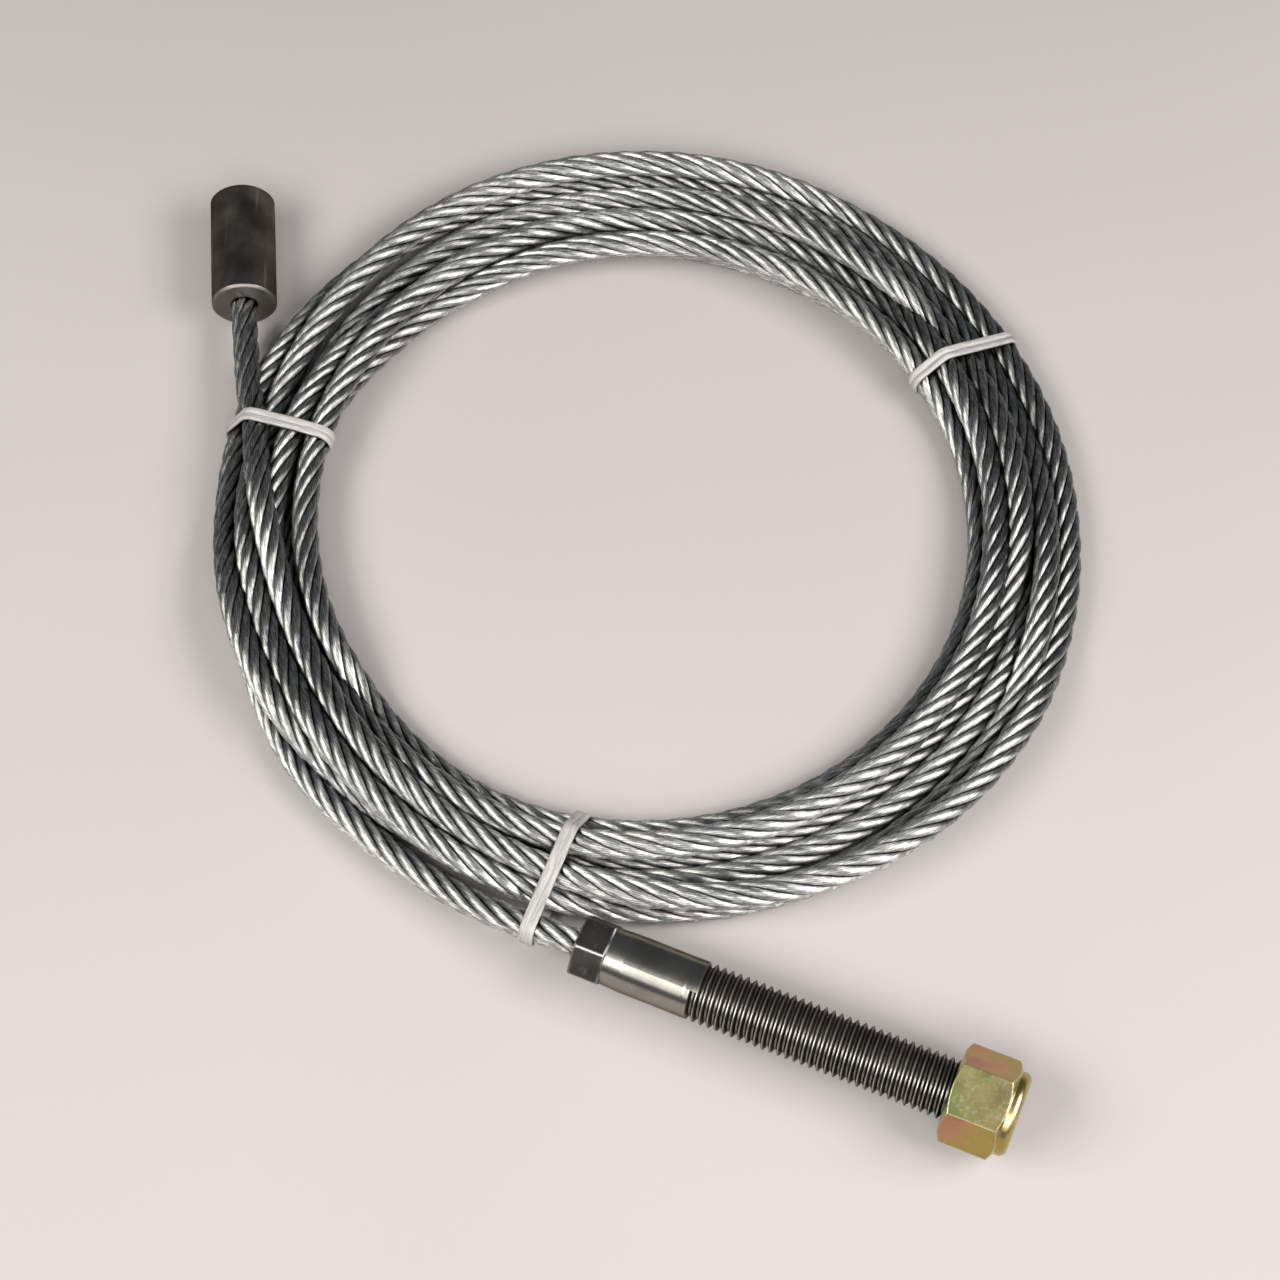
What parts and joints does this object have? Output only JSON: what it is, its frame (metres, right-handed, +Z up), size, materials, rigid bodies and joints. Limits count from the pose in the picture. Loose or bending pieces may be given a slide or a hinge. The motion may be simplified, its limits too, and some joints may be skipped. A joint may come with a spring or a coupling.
{
  "type": "wire rope lifting cable",
  "caption": "Coiled galvanised wire rope with a cylindrical stop plug on one end and a long threaded stud with a nylon insert lock nut on the other, held by white band ties.",
  "frame": {"origin": "on the floor under the middle of the box around the stop plug, the stud and the nut", "axes": "+Z up, the coil flat on the floor; +X to the right and +Y away from the side where the stud lies"},
  "size_m": [0.3046, 0.3869, 0.0307],
  "materials": {
    "rope": "bright galvanised wire",
    "plug_steel": "dark satin bare steel",
    "stud_steel": "polished shank, oiled dark thread",
    "nut_zinc": "yellow iridescent zinc plating on steel",
    "nylon": "natural nylon",
    "tie_plastic": "white, faintly translucent plastic band"
  },
  "bodies": {
    "cable": {"rope_coil": "rope", "rope_stud_tail": "rope", "rope_plug_tail": "rope", "stop_plug": "plug_steel", "threaded_stud": "stud_steel", "tie_left": "tie_plastic", "tie_right": "tie_plastic", "tie_bottom": "tie_plastic"},
    "nut_travel": {"nut_insert": "nylon"},
    "nut_hex": {"lock_nut": "nut_zinc"}
  },
  "joints": [
    {"name": "nut_slide", "type": "slide", "parent": "cable", "child": "nut_travel", "axis": [-0.9219, 0.3875, 0], "range_m": [0, 0.08]},
    {"name": "nut_spin", "type": "hinge", "parent": "nut_travel", "child": "nut_hex", "pos_m": [0.11243, -0.15907, 0.0156], "axis": [-0.9219, 0.3875, 0], "range_deg": [0, 11500]}
  ],
  "couplings": [
    {"joint": "nut_spin", "follows": "nut_slide", "rad_per_m": 2473.7}
  ]
}
